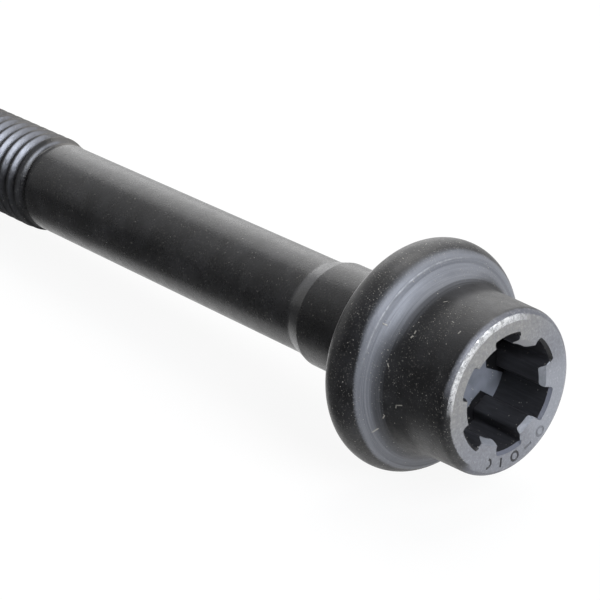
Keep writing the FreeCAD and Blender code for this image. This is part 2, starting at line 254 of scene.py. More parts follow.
def arc_between(start, end, centre, steps):
    """Points on the short arc from start up to, but without, end."""
    a = math.atan2(*(start - centre))
    b = math.atan2(*(end - centre))
    turn = (b - a + math.pi) % (2 * math.pi) - math.pi
    radius = np.linalg.norm(start - centre)
    angles = a + turn * np.arange(steps) / steps
    return [centre + radius * np.array([math.sin(angle), math.cos(angle)]) for angle in angles]


def half_sector():
    """The socket's outline from a slot's middle line to the next tooth's, as (across, outwards) points."""
    outer_v = math.sqrt(SLOT_OUTER_RADIUS**2 - SLOT_HALF_WIDTH**2)
    corner = np.array([SLOT_HALF_WIDTH, outer_v])
    along = unit(SLOT_FLANK_ANGLE)
    inwards = np.array([-along[1], along[0]])

    def tangent_centre(offset, distance):
        """Centre on the line beside the flank at this offset and at this distance from the axis."""
        start = corner + offset * inwards
        b = start @ along
        return start + along * (-b + math.sqrt(b * b - start @ start + distance**2))

    slot_centre = tangent_centre(SLOT_CORNER_RADIUS, SLOT_OUTER_RADIUS - SLOT_CORNER_RADIUS)
    tooth_centre = tangent_centre(-TOOTH_CORNER_RADIUS, TOOTH_TIP_RADIUS + TOOTH_CORNER_RADIUS)
    slot_arc_end = slot_centre * SLOT_OUTER_RADIUS / np.linalg.norm(slot_centre)
    flank_start = slot_centre - SLOT_CORNER_RADIUS * inwards
    flank_end = tooth_centre + TOOTH_CORNER_RADIUS * inwards
    tooth_arc_start = tooth_centre * TOOTH_TIP_RADIUS / np.linalg.norm(tooth_centre)
    tooth_middle = TOOTH_TIP_RADIUS * unit(180 / SLOT_COUNT)
    axis = np.zeros(2)
    points = arc_between(np.array([0, SLOT_OUTER_RADIUS]), slot_arc_end, axis, SLOT_END_STEPS)
    points += arc_between(slot_arc_end, flank_start, slot_centre, SLOT_CORNER_STEPS)
    points += [flank_start + (flank_end - flank_start) * step / FLANK_STEPS for step in range(FLANK_STEPS)]
    points += arc_between(flank_end, tooth_arc_start, tooth_centre, TOOTH_CORNER_STEPS)
    points += arc_between(tooth_arc_start, tooth_middle, axis, TOOTH_TIP_STEPS)
    return points + [tooth_middle]


def socket_outline():
    """The socket's outline as one (y, z) point for each column."""
    half = half_sector()
    sector = half[:-1] + [
        point * (-1, 1) @ rotation(-360 / SLOT_COUNT) for point in reversed(half[1:])
    ]
    points = [point @ rotation(-360 / SLOT_COUNT * slot) for slot in range(SLOT_COUNT) for point in sector]
    return np.array(points)


def rotation(angle):
    """Matrix that turns row vectors (y, z) from +Y towards +Z by this angle in degrees."""
    c, s = math.cos(math.radians(angle)), math.sin(math.radians(angle))
    return np.array([[c, s], [-s, c]])


def at_height(x, outline):
    """A ring of the socket: one height, or one for each column, and the (y, z) points."""
    return np.column_stack([np.broadcast_to(x, len(outline)), outline])


def socket_rings():
    """Rings from the socket's floor up its walls and over the end face to a round ring."""
    outline = socket_outline()
    radius = np.linalg.norm(outline, axis=1)
    floor_x = HEAD_HEIGHT - SOCKET_DEPTH
    tangent = np.roll(outline, -1, axis=0) - np.roll(outline, 1, axis=0)
    outwards = np.column_stack([-tangent[:, 1], tangent[:, 0]]) / np.linalg.norm(tangent, axis=1)[:, None]
    facing_out = np.sum(outwards * outline, axis=1) / radius
    slot_end = np.clip((radius - LEAD_IN_RADIUS) / (SLOT_OUTER_RADIUS - LEAD_IN_RADIUS), 0, 1)
    ease = MOUTH_EASE + (SLOT_BEVEL - MOUTH_EASE) * slot_end * np.clip(facing_out, 0, 1) ** 4
    # the lead-in was driven a little off the axis, so it reaches further over the teeth on one side
    off = np.arctan2(outline[:, 0], outline[:, 1]) - math.radians(LEAD_IN_SHIFT_ANGLE)
    reach = LEAD_IN_SHIFT * np.cos(off) + np.sqrt(LEAD_IN_RADIUS**2 - (LEAD_IN_SHIFT * np.sin(off)) ** 2)
    on_tooth = radius < reach
    fall = (reach - radius) * LEAD_IN_DEPTH / (LEAD_IN_RADIUS - TOOTH_TIP_RADIUS)
    depth = np.where(on_tooth, np.maximum(fall, ease), ease)
    mouth = np.where(on_tooth[:, None], outline * (reach / radius)[:, None],
                     outline + outwards * ease[:, None])
    rings = [at_height(floor_x, outline * share) for share in FLOOR_ROWS]
    wall_top = HEAD_HEIGHT - depth
    for share in np.linspace(0, 1, WALL_STEPS + 1):
        rings.append(at_height(floor_x + (wall_top - floor_x) * share, outline))
    rings.append(at_height(HEAD_HEIGHT, mouth))
    edge = turned(HEAD_HEIGHT, FACE_RING_RADIUS)[:, 1:]
    for share in FACE_ROWS:
        rings.append(at_height(HEAD_HEIGHT, mouth + (edge - mouth) * share))
    return rings


# One pitch of the thread's form: (place as a share of the pitch from the crest's middle, share of the depth)
THREAD_FORM = (
    (-0.05, 0.0),
    (0.05, 0.0),
    (0.11, 0.1),
    (0.35, 0.93),
    (0.43, 1.0),
    (0.57, 1.0),
    (0.65, 0.93),
    (0.89, 0.1),
)


def thread_rings():
    """Rings that follow the helix, from the end of the shank to the tip. Past either end they close up."""
    angle = np.arange(COLUMNS + 1) * 2 * math.pi / COLUMNS
    turns = math.ceil((THREAD_LENGTH + RUNOUT_LEAD) / PITCH)
    lead = PITCH * (angle + math.radians(THREAD_START_ANGLE)) / (2 * math.pi)
    rings = []
    # with two turns more at either end, every column reaches both ends
    for turn in range(-2, turns + 2):
        for place, depth in THREAD_FORM:
            x = THREAD_START - PITCH * (turn + place) - lead
            full = THREAD_RADIUS - depth * THREAD_DEPTH
            # grooves reach their depth sooner than crests reach their height
            runout = CREST_RUNOUT if full > SHANK_RADIUS else GROOVE_RUNOUT
            run = np.clip((THREAD_START - x) / runout, 0, 1)
            run = run * run * (3 - 2 * run)
            radius = SHANK_RADIUS + (full - SHANK_RADIUS) * run
            # the tip is chamfered at 45 degrees, down to the roots
            radius = np.minimum(radius, THREAD_RADIUS - THREAD_DEPTH + np.maximum(x + BOLT_LENGTH, 0))
            x = np.clip(x, -BOLT_LENGTH, THREAD_START)
            rings.append(np.stack([x, radius * np.sin(angle), radius * np.cos(angle)], axis=1))
    return rings


def bolt_mesh():
    """The whole bolt as one closed skin."""
    rings = socket_rings()
    walls = len(rings) - 1 - len(FACE_ROWS)
    rings += [turned(*point) for point in body_path()[:-1]]
    points = [np.array([[HEAD_HEIGHT - SOCKET_DEPTH, 0, 0]])] + rings
    count = 1 + COLUMNS * len(rings)
    around = np.arange(COLUMNS)
    after = (around + 1) % COLUMNS
    faces = [(0, 1 + a, 1 + b) for a, b in zip(around, after)]
    for row in range(len(rings) - 1):
        low, high = 1 + row * COLUMNS, 1 + (row + 1) * COLUMNS
        faces += [(low + a, high + a, high + b, low + b) for a, b in zip(around, after)]
    last = count - COLUMNS
    # the thread's rings don't close on themselves: each goes on one pitch further along the helix
    helix = thread_rings()
    points += helix
    width = COLUMNS + 1
    for row in range(len(helix) - 1):
        low, high = count + row * width, count + (row + 1) * width
        faces += [(low + a, high + a, high + a + 1, low + a + 1) for a in around]
    faces += [(last + a, count + a, count + a + 1, last + b) for a, b in zip(around, after)]
    tip = count + (len(helix) - 1) * width
    centre = count + len(helix) * width
    points.append(np.array([[-BOLT_LENGTH, 0, 0]]))
    faces += [(tip + a, centre, tip + a + 1) for a in around]
    zones = np.zeros(len(faces), np.int32)
    zones[:walls * COLUMNS] = SOCKET
    zones[walls * COLUMNS:(walls + 1) * COLUMNS] = LEAD_IN
    return np.concatenate(points), faces, zones


def tube(centres, ring):
    """Closed tube of the marking tool's radius round a path on the end face, given as (y, z) points."""
    sides = MARK_TOOL_SIDES
    centres = np.array(centres)
    count = len(centres)
    ahead = np.roll(centres, -1, axis=0) if ring else centres[[*range(1, count), count - 1]]
    behind = np.roll(centres, 1, axis=0) if ring else centres[[0, *range(count - 1)]]
    along = ahead - behind
    across = np.column_stack([-along[:, 1], along[:, 0]]) / np.linalg.norm(along, axis=1)[:, None]
    turn = np.arange(sides) * 2 * math.pi / sides
    points = np.zeros((count, sides, 3))
    points[..., 0] = HEAD_HEIGHT + MARK_TOOL_LIFT + MARK_TOOL_RADIUS * np.sin(turn)
    points[..., 1:] = centres[:, None] + across[:, None] * (MARK_TOOL_RADIUS * np.cos(turn))[:, None]
    faces = []
    for row in range(count if ring else count - 1):
        low, high = row * sides, (row + 1) % count * sides
        for side in range(sides):
            after = (side + 1) % sides
            faces.append((low + side, high + side, high + after, low + after))
    if not ring:
        faces += [tuple(range(sides)), tuple(range(count * sides - 1, (count - 1) * sides - 1, -1))]
    return points.reshape(-1, 3), faces


def mark_tools():
    """The tools that leave the punched marks, as one mesh."""
    points, faces = [], []
    for index, kind in enumerate(MARKS):
        angle = math.radians(MARK_FIRST_ANGLE + index * MARK_STEP_ANGLE)
        outwards = np.array([math.sin(angle), math.cos(angle)])
        spot = MARK_PLACE_RADIUS * outwards
        if "ring" in kind:
            whole = kind == "ring"
            if whole:
                turn = np.arange(MARK_RING_STEPS) * 2 * math.pi / MARK_RING_STEPS
            else:
                turn = angle - np.linspace(0, math.pi, MARK_RING_STEPS // 2 + 1)
            circle = MARK_RING_RADIUS * np.column_stack([np.sin(turn), np.cos(turn)])
            tool = tube(spot + circle, whole)
        else:
            direction = outwards if kind == "across rim" else outwards[::-1] * (1, -1)
            half = direction * MARK_STROKE_LENGTH / 2
            tool = tube([spot - half, spot + half], False)
        start = sum(len(part) for part in points)
        points.append(tool[0])
        faces += [tuple(corner + start for corner in face) for face in tool[1]]
    return np.concatenate(points), faces


def add_object(name, data):
    """An object of the scene with this data."""
    made = bpy.data.objects.new(name, data)
    bpy.context.scene.collection.objects.link(made)
    return made


def add_mesh(name, axes, points, faces):
    """A mesh object from points along these axes, in millimetres."""
    place = np.array(axes)
    mesh = bpy.data.meshes.new(name)
    mesh.from_pydata((points * MM @ place[:3, :3].T + place[:3, 3]).tolist(), [], faces)
    return add_object(name, mesh)


def punch_marks(skin, axes):
    """Cuts the marks into the end face."""
    tools = add_mesh("mark_tools", axes, *mark_tools())
    repair(tools.data, 0)
    cut = skin.modifiers.new("marks", "BOOLEAN")
    cut.operation = "DIFFERENCE"
    cut.solver = "EXACT"
    cut.object = tools
    bpy.context.view_layer.update()
    marked = bpy.data.meshes.new_from_object(skin.evaluated_get(bpy.context.evaluated_depsgraph_get()))
    skin.modifiers.clear()
    skin.data = marked
    bpy.data.objects.remove(tools)


def make_bolt(axes):
    """The bolt, as the one visual piece that takes the solid's place."""
    points, faces, zones = bolt_mesh()
    skin = add_mesh("head_bolt_skin", axes, points, faces)
    skin.data.polygons.foreach_set("material_index", zones)
    repair(skin.data, JOINED_WITHIN)
    # in the order of the mesh's zones
    for make_material in (outside_material, socket_material, lead_in_material):
        skin.data.materials.append(make_material(axes))
    punch_marks(skin, axes)
    skin.data.shade_smooth()
    skin.data.set_sharp_from_angle(angle=math.radians(SHARP_ANGLE))
    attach(skin, "root")
    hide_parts("head_bolt")


def repair(mesh, distance):
    """Joins points this close, as at the thread's seam, drops what has no area and turns faces outwards."""
    work = bmesh.new()
    work.from_mesh(mesh)
    if distance:
        bmesh.ops.remove_doubles(work, verts=work.verts, dist=distance * MM)
        bmesh.ops.dissolve_degenerate(work, edges=work.edges, dist=distance / 4 * MM)
    bmesh.ops.recalc_face_normals(work, faces=work.faces)
    work.to_mesh(mesh)
    work.free()


def make_camera():
    """The photograph's camera."""
    data = bpy.data.cameras.new("camera")
    data.lens = CAMERA_LENS
    data.sensor_width = SENSOR_WIDTH
    camera = add_object("camera", data)
    camera.location = Vector(CAMERA_PLACE) * MM
    camera.rotation_euler = (math.radians(90 - CAMERA_ELEVATION), 0, math.radians(CAMERA_HEADING - 90))
    data.clip_start, data.clip_end = (distance * MM for distance in CAMERA_CLIP)
    bpy.context.scene.camera = camera


class Nodes:
    """The nodes of a tree, with one short method for each kind. A mask is a number from 0 to 1."""

    def __init__(self, tree):
        self.tree = tree

    def node(self, kind, **inputs):
        """A new node with these inputs."""
        made = self.tree.nodes.new(kind)
        for name, value in inputs.items():
            self.feed(made.inputs[name], value)
        return made

    def feed(self, socket, value):
        """Gives an input another node's output, or a number or colour."""
        if isinstance(value, bpy.types.NodeSocket):
            self.tree.links.new(value, socket)
        else:
            socket.default_value = value

    def math(self, operation, a, b=0.0):
        """A math node's result."""
        made = self.tree.nodes.new("ShaderNodeMath")
        made.operation = operation
        self.feed(made.inputs[0], a)
        self.feed(made.inputs[1], b)
        return made.outputs[0]

    def add(self, a, b):
        return self.math("ADD", a, b)

    def subtract(self, a, b):
        return self.math("SUBTRACT", a, b)

    def multiply(self, a, b):
        return self.math("MULTIPLY", a, b)

    def divide(self, a, b):
        return self.math("DIVIDE", a, b)

    def inverse(self, mask):
        return self.subtract(1.0, mask)

    def product(self, *masks):
        """What lies in all of these masks."""
        return functools.reduce(self.multiply, masks)

    def highest(self, *masks):
        """What lies in any of these masks."""
        return functools.reduce(lambda a, b: self.math("MAXIMUM", a, b), masks)

    def rise(self, value, low, high):
        """0 below low, 1 above high and smooth between. With low above high it falls instead."""
        made = self.node("ShaderNodeMapRange", Value=value)
        made.interpolation_type = "SMOOTHSTEP"
        made.inputs["From Min"].default_value = min(low, high)
        made.inputs["From Max"].default_value = max(low, high)
        made.inputs["To Min"].default_value = 0.0 if low < high else 1.0
        made.inputs["To Max"].default_value = 1.0 if low < high else 0.0
        return made.outputs["Result"]

    def between(self, value, low, high, soft):
        """1 between low and high, with soft edges inside and outside them."""
        inside = self.rise(value, low - soft, low + soft)
        return self.multiply(inside, self.rise(value, high + soft, high - soft))

    def mix(self, share, low, high):
        """Colours low and high mixed by a mask."""
        made = self.tree.nodes.new("ShaderNodeMix")
        made.data_type = "RGBA"
        self.feed(made.inputs["Factor"], share)
        for socket, colour in ((made.inputs[6], low), (made.inputs[7], high)):
            self.feed(socket, colour if isinstance(colour, bpy.types.NodeSocket) else (*colour, 1))
        return made.outputs[2]

    def blend(self, share, low, high):
        """Numbers low and high mixed by a mask."""
        made = self.tree.nodes.new("ShaderNodeMix")
        self.feed(made.inputs["Factor"], share)
        self.feed(made.inputs[2], low)
        self.feed(made.inputs[3], high)
        return made.outputs[0]


class Shading(Nodes):
    """A material's nodes.

    Its places are in millimetres along the given axes, and its angles are in degrees about the first of them,
    from the third towards the second.
    """

    def __init__(self, name, axes):
        self.material = bpy.data.materials.new(name)
        self.material.use_nodes = True
        super().__init__(self.material.node_tree)
        self.shader = self.tree.nodes["Principled BSDF"]
        place = self.node("ShaderNodeTexCoord").outputs["Object"]
        turned_back = self.node("ShaderNodeMapping", Vector=place)
        turned_back.inputs["Rotation"].default_value = axes.inverted().to_euler()
        turned_back.inputs["Scale"].default_value = (1 / MM, 1 / MM, 1 / MM)
        self.own = turned_back.outputs["Vector"]
        self.x, self.y, self.z = self.node("ShaderNodeSeparateXYZ", Vector=self.own).outputs
        squares = self.add(self.multiply(self.y, self.y), self.multiply(self.z, self.z))
        self.radius = self.math("SQRT", squares)
        self.sine = self.divide(self.y, self.radius)
        self.cosine = self.divide(self.z, self.radius)

    def scaled(self, shares):
        """The place, multiplied by a share along each axis."""
        made = self.node("ShaderNodeMapping", Vector=self.own)
        made.inputs["Scale"].default_value = shares
        return made.outputs["Vector"]

    def around(self, angle):
        """Cosine of the angle about the axis between a place and this angle."""
        turned_to = self.multiply(self.sine, math.sin(math.radians(angle)))
        return self.add(turned_to, self.multiply(self.cosine, math.cos(math.radians(angle))))

    def side(self, angle, band):
        """Mask of the side at this angle, whose edge is a band of that cosine."""
        return self.rise(self.around(angle), *band)

    def reach(self, angle):
        """Distance from the axis, measured in the direction of this angle."""
        return self.multiply(self.radius, self.around(angle))

    def circling(self, fineness, along):
        """Vector whose noise runs in rings about the axis."""
        made = self.node("ShaderNodeCombineXYZ")
        self.feed(made.inputs[0], self.multiply(self.add(self.x, self.radius), fineness))
        self.feed(made.inputs[1], self.multiply(self.sine, along))
        self.feed(made.inputs[2], self.multiply(self.cosine, along))
        return made.outputs[0]

    def noise(self, vector, scale, detail, roughness):
        """Noise of this fineness to the millimetre, detail and roughness."""
        made = self.node("ShaderNodeTexNoise", Vector=vector)
        made.inputs["Scale"].default_value = scale
        made.inputs["Detail"].default_value = detail
        made.inputs["Roughness"].default_value = roughness
        return made.outputs["Fac"]

    def clouds(self, noise, band):
        """Mask of the places where a noise is high."""
        return self.rise(self.noise(self.own, *noise), *band)

    def wander(self, noise, width):
        """The noise as a shift to both sides, within this width."""
        return self.multiply(self.subtract(noise, 0.5), width)

    def specks(self, vector, spacing, size, share):
        """Small soft spots, one to a cell of this spacing, in this share of the cells."""
        cells = self.node("ShaderNodeTexVoronoi", Vector=vector)
        cells.inputs["Scale"].default_value = 1 / spacing
        chosen = self.rise(cells.outputs["Color"], 1 - share, 1 - share * 0.9)
        return self.multiply(chosen, self.rise(cells.outputs["Distance"], size, size * 0.5))

    def bump(self, height, distance, normal=None):
        """The normal of a surface that rises this far where height is 1."""
        made = self.node("ShaderNodeBump", Height=height)
        made.inputs["Distance"].default_value = distance * MM
        if normal:
            self.feed(made.inputs["Normal"], normal)
        return made.outputs["Normal"]

    def surface(self, colour, roughness, specular, metal=0.0, normal=None):
        """The finished material."""
        inputs = self.shader.inputs
        inputs["Specular IOR Level"].default_value = specular
        for name, value in (("Base Color", colour), ("Roughness", roughness), ("Metallic", metal)):
            self.feed(inputs[name], value)
        if normal:
            self.feed(inputs["Normal"], normal)
        return self.material


# Angles about the axis, from +Z towards +Y, of places that the photograph shows
BOTTOM_LEFT = -135.0
LOWER_LEFT = -103.0
LEFT = -95.0
FACING = -70.0
UPPER_LEFT = -32.0
THREAD_HIGHLIGHT_SIDE = -24.0
CREASE_HIGHLIGHT_SIDE = -22.0
TOP_LEFT = -12.0
TOP_TOOTH = 19.0
TOP_RIGHT = 40.0
PALE_SIDE = 115.0
LOWER_RIGHT = 150.0
MARKS_DARK_SIDE = 204.0

# Base colours
BLACK = (0.005, 0.005, 0.006)
BLACK_WORN = (0.018, 0.018, 0.020)
OIL_BROWN = (0.050, 0.045, 0.038)
COVE_GREY = (0.186, 0.193, 0.214)
COVE_DARK = (0.098, 0.102, 0.116)
FLANK_GREY = (0.198, 0.204, 0.228)
THREAD_DUSTY_SHEEN = (0.115, 0.109, 0.102)
FACE_WARM = (0.215, 0.210, 0.200)
FACE_COOL = (0.180, 0.185, 0.205)
FACE_DARK = (0.130, 0.131, 0.142)
FACE_PALE = (0.240, 0.248, 0.272)
RIM_DARK = (0.085, 0.088, 0.105)
BARE_STEEL_AND_HIGHLIGHT = (0.68, 0.68, 0.69)
DUST_AND_BOUNCE = (0.38, 0.36, 0.32)
MARK_SHADE = (0.030, 0.030, 0.032)
WALL_DARK = (0.024, 0.024, 0.027)
WALL_LIGHT = (0.036, 0.036, 0.041)
SOCKET_FLOOR_DARK = (0.12, 0.13, 0.15)
SOCKET_FLOOR_LIGHT = (0.17, 0.18, 0.21)
LEAD_IN_LIGHT = (0.27, 0.28, 0.31)
LEAD_IN_DARK = (0.21, 0.22, 0.24)
LEAD_IN_BRIGHT = (0.40, 0.40, 0.41)
BEVEL_DARK = (0.012, 0.012, 0.013)
BEVEL_HIGHLIGHT = (0.10, 0.105, 0.13)

# Noises: fineness, detail and roughness
BROKEN = (0.9, 3.0, 0.6)
CRUMB_PATCHES = (0.5, 2.0, 0.5)
DRIFTS = (0.22, 2.0, 0.5)
FACETS = (2.4, 4.0, 0.75)
FILM = (2.5, 4.0, 0.7)
GRAIN = (5.0, 4.0, 0.65)
MOTTLES = (2.2, 4.0, 0.7)
PATCHES = (0.35, 4.0, 0.6)
PITS = (4.0, 4.0, 0.7)
POWDER = (6.0, 3.0, 0.6)
RAGGED = (1.6, 4.0, 0.65)
RINGS = (1.0, 4.0, 0.75)
SHEEN = (0.9, 4.0, 0.65)
SOCKET_CLOUDS = (0.6, 3.0, 0.5)
STREAKS = (1.5, 3.0, 0.6)
WAVES = (0.16, 1.0, 0.5)
# How the rings' noise runs: rings to the millimetre, and their change round the axis
RINGS_RUN = (6.0, 0.3)
# How places are multiplied for noises and specks: a small share draws them out along its axis
BROKEN_STRETCH = (2.0, 1.0, 1.0)
FINE_STRETCH = (1.3, 1.3, 1.3)
LINT_ALONG_STRETCH = (0.35, 1.2, 1.2)
LINT_ACROSS_STRETCH = (1.3, 0.4, 0.4)
STREAKS_STRETCH = (0.3, 3.0, 3.0)
CRUMBS_STRETCH = (1.4, 1.0, 1.0)

# Shares of metal
COVE_METAL = 0.35
FLANK_METAL = 0.6
FACE_METAL = 0.3
LEAD_IN_METAL = 0.35
# Roughnesses and speculars
BLACK_ROUGHNESS = 0.24
HEAD_ROUGHNESS = 0.42
FLANK_ROUGHNESS = 0.38
CREST_ROUGHNESS = 0.75
CORNER_ROUGHNESS = 0.85
COVE_ROUGHNESS = 0.48
FACE_ROUGHNESS = 0.42
LEAD_IN_ROUGHNESS = 0.42
BARE_ROUGHNESS = 0.3
WALL_ROUGHNESS = 0.42
SOCKET_FLOOR_ROUGHNESS = 0.5
BLACK_SPECULAR = 0.38
SOCKET_SPECULAR = 0.3

# In the masks below, two numbers say where a mask is 0 and where it is 1, and three say from where to where
# it is 1 and how soft its edges are. The ones for a side are cosines about the axis.

# Cove: the line on the flange where its grey ends, how far that wanders and how soft it is, and where the
# grey fades towards the head. At the top left the grey is wider on both sides, as painted light, and the
# lower side stays darker, as painted shade.
COVE_LIT_SIDE = (0.55, 0.98)
COVE_EDGE = 3.52
COVE_EDGE_WAVES = 0.4
COVE_EDGE_RAGGED = 0.10
COVE_EDGE_SPECKLED = 0.22
COVE_EDGE_TOP_SHIFT = 0.27
COVE_EDGE_WIDTHS = (0.28, 0.68)
COVE_FADE = (5.3, 3.7)
COVE_FADE_RINGS = 0.9
COVE_FADE_TOP_SHIFT = 0.75
COVE_LOWEST = (2.0, 2.2)


def cove_mask(s, rings, ragged):
    """The cove, rubbed grey up to a wavy line past the crease and fading in rings towards the head, and wider
    at the top left as painted light.
    """
    # painted light: the grey reaches wider on the lit top left side
    lit_top = s.side(TOP_LEFT, COVE_LIT_SIDE)
    waves = s.wander(s.noise(s.own, *WAVES), COVE_EDGE_WAVES)
    speckles = s.wander(s.noise(s.own, *POWDER), COVE_EDGE_SPECKLED)
    place = s.add(s.add(s.add(s.x, waves), s.wander(ragged, COVE_EDGE_RAGGED)), speckles)
    past_edge = s.subtract(s.add(place, s.multiply(lit_top, COVE_EDGE_TOP_SHIFT)), COVE_EDGE)
    outer = s.rise(s.divide(past_edge, s.blend(lit_top, *COVE_EDGE_WIDTHS)), -0.5, 0.5)
    inner = s.add(s.x, s.wander(rings, COVE_FADE_RINGS))
    inner = s.subtract(inner, s.multiply(lit_top, COVE_FADE_TOP_SHIFT))
    return s.product(outer, s.rise(inner, *COVE_FADE), s.rise(s.x, *COVE_LOWEST))


# Thread: shares of a pitch, with the middle of a crest at the first of them
CREST_PHASE = 0.5
CREST_RISE = (0.41, 0.47)
CREST_FALL = (0.62, 0.58)
FLANK_FOOT = (0.13, 0.26)
FLANK_TOP = (0.44, 0.36)
LAST_TURN_SHIFT = 0.12
# Places from its start towards the tip
THREAD_EDGE = 0.4
TIP_EDGE = 0.2
RUBBED_FROM = (-1.2, 1.6)
RUBBED_SLANT = 1.6
LAST_TURN = (2.6, 1.6)
DUSTY_SHEEN_END = (20.0, 8.0)
# How the rubbed side, painted brighter as a highlight, and the top's painted sheen with a dusty tinge end
# about the axis
RUBBED_HIGHLIGHT_BAND = (0.66, 0.98)
RUBBED_ELSEWHERE = 0.12
DUSTY_SHEEN_SIDE = (0.62, 0.92)
DUSTY_SHEEN_PAST_END = 0.30
RUBBED_BROKEN = 0.45
DUSTY_SHEEN_BROKEN = 0.27


def thread_masks(s):
    """The thread's head-side flanks, rubbed grey but for the last turn's end and brightest as a painted
    highlight on one side, its crests, and its top with a painted sheen of a dusty tinge.
    """
    past_start = s.subtract(THREAD_START, s.x)
    angle = s.divide(s.math("ARCTAN2", s.sine, s.cosine), 2 * math.pi)
    turns = s.subtract(s.divide(past_start, PITCH), angle)
    phase = s.math("FRACT", s.subtract(turns, THREAD_START_ANGLE / 360 - CREST_PHASE))
    before_tip = s.rise(s.x, -BOLT_LENGTH, TIP_EDGE - BOLT_LENGTH)
    on_thread = s.multiply(s.rise(past_start, 0, THREAD_EDGE), before_tip)
    broken = s.noise(s.scaled(BROKEN_STRETCH), *BROKEN)
    slanted = s.subtract(past_start, s.multiply(s.around(FACING), RUBBED_SLANT))
    # the flank grey is fullest on this side as a painted highlight, over the wear
    rubbed_and_highlit = s.rise(s.add(s.around(THREAD_HIGHLIGHT_SIDE), s.wander(broken, RUBBED_BROKEN)), *RUBBED_HIGHLIGHT_BAND)
    # the last turn's crest isn't full, so only the flank's foot is rubbed there
    shifted = s.add(phase, s.multiply(s.rise(past_start, *LAST_TURN), LAST_TURN_SHIFT))
    flank = s.product(s.rise(phase, *FLANK_FOOT), s.rise(shifted, *FLANK_TOP), on_thread,
                      s.rise(slanted, *RUBBED_FROM), s.blend(rubbed_and_highlit, RUBBED_ELSEWHERE, 1.0))
    crest = s.product(s.rise(shifted, *CREST_RISE), s.rise(phase, *CREST_FALL), on_thread)
    # the top: a painted sheen with a dusty tinge
    greyed = s.rise(s.add(s.around(TOP_RIGHT), s.wander(broken, DUSTY_SHEEN_BROKEN)), *DUSTY_SHEEN_SIDE)
    greyed = s.product(greyed, on_thread, s.blend(s.rise(past_start, *DUSTY_SHEEN_END), DUSTY_SHEEN_PAST_END, 1.0))
    return flank, crest, greyed


# Bare steel, also a painted highlight on the upper left side: the crease
CREASE_BAND = (CREASE_HEIGHT - 0.03, CREASE_HEIGHT + 0.03, 0.04)
CREASE_SIDE = (0.55, 0.9)
CREASE_RAGGED = (0.35, 0.7)
CREASE_SHARES = (0.1, 0.35)
# The flange's rear edge
REAR_EDGE = (-0.02, 0.16, 0.03)
REAR_EDGE_FROM = (9.9, 10.05)
REAR_EDGE_SHARES = (0.4, 1.0)
# The head's rim, bare and also a painted highlight on the upper left side
RIM_BAND = (6.74, 7.32, 0.05)
RIM_WANDER = 0.12
RIM_HEIGHT = (HEAD_HEIGHT - 0.64, HEAD_HEIGHT - 0.44)
RIM_HIGHLIGHT_SIDE = (0.55, 0.85)
RIM_FACETS = (0.38, 0.58)
RIM_SHARES = (0.20, 1.0)


def bare_and_highlight_masks(s, ragged):
    """Where the steel is bare: along the crease, on the flange's rear edge and on the head's rim. The crease
    and the rim are also painted highlights on their upper left sides.
    """
    crease = s.product(s.between(s.x, *CREASE_BAND), s.side(CREASE_HIGHLIGHT_SIDE, CREASE_SIDE),
                       s.blend(s.rise(ragged, *CREASE_RAGGED), *CREASE_SHARES))
    rear = s.product(s.between(s.x, *REAR_EDGE), s.rise(s.radius, *REAR_EDGE_FROM),
                     s.blend(ragged, *REAR_EDGE_SHARES))
    rim = s.between(s.add(s.radius, s.wander(ragged, RIM_WANDER)), *RIM_BAND)
    rim = s.product(rim, s.rise(s.x, *RIM_HEIGHT), s.side(UPPER_LEFT, RIM_HIGHLIGHT_SIDE),
                    s.blend(s.clouds(FACETS, RIM_FACETS), *RIM_SHARES))
    return s.highest(crease, rear, rim), rim


# End face: the heights and radii where its grey starts
FACE_EDGE = (HEAD_HEIGHT - 0.60, HEAD_HEIGHT - 0.34)
FACE_FLAT = (HEAD_HEIGHT - 0.08, HEAD_HEIGHT - 0.02)
FACE_FLAT_RADIUS = (7.05, 6.90)
FACE_WANDER = 0.3
FACE_BLACK_SIDE = (0.76, 0.90)


def face_mask(s, ragged):
    """The end face, rubbed grey past its rim but for the lower left, where it stays black up to the flat."""
    wander = s.wander(ragged, FACE_WANDER)
    past_rim = s.rise(s.add(s.x, wander), *FACE_EDGE)
    on_flat = s.multiply(s.rise(s.x, *FACE_FLAT), s.rise(s.add(s.radius, wander), *FACE_FLAT_RADIUS))
    return s.blend(s.side(LOWER_LEFT, FACE_BLACK_SIDE), past_rim, on_flat)


# Flakes and threads of dirt: (x, angle, length, width, slant)
FLAKES = (
    (6.85, -91.0, 0.9, 0.16, 18.0),
    (6.42, -93.0, 0.5, 0.16, 75.0),
    (4.25, -112.0, 0.55, 0.22, 30.0),
    (6.25, -46.0, 0.35, 0.22, 70.0),
    (6.30, -42.5, 0.40, 0.20, 95.0),
    (6.55, -14.0, 0.5, 0.12, 50.0),
    (5.25, -68.0, 0.4, 0.14, 120.0),
    (5.05, -103.0, 0.5, 0.14, 60.0),
    (4.10, -47.0, 0.3, 0.18, 20.0),
    (10.30, -30.5, 0.4, 0.16, 80.0),
)
# Where a flake's edges start and end, as shares of its length and width
FLAKE_ENDS = (0.5, 0.3)
FLAKE_SIDES = (0.45, 0.2)
FLAKE_NEAR_SIDE = (0.5, 0.6)


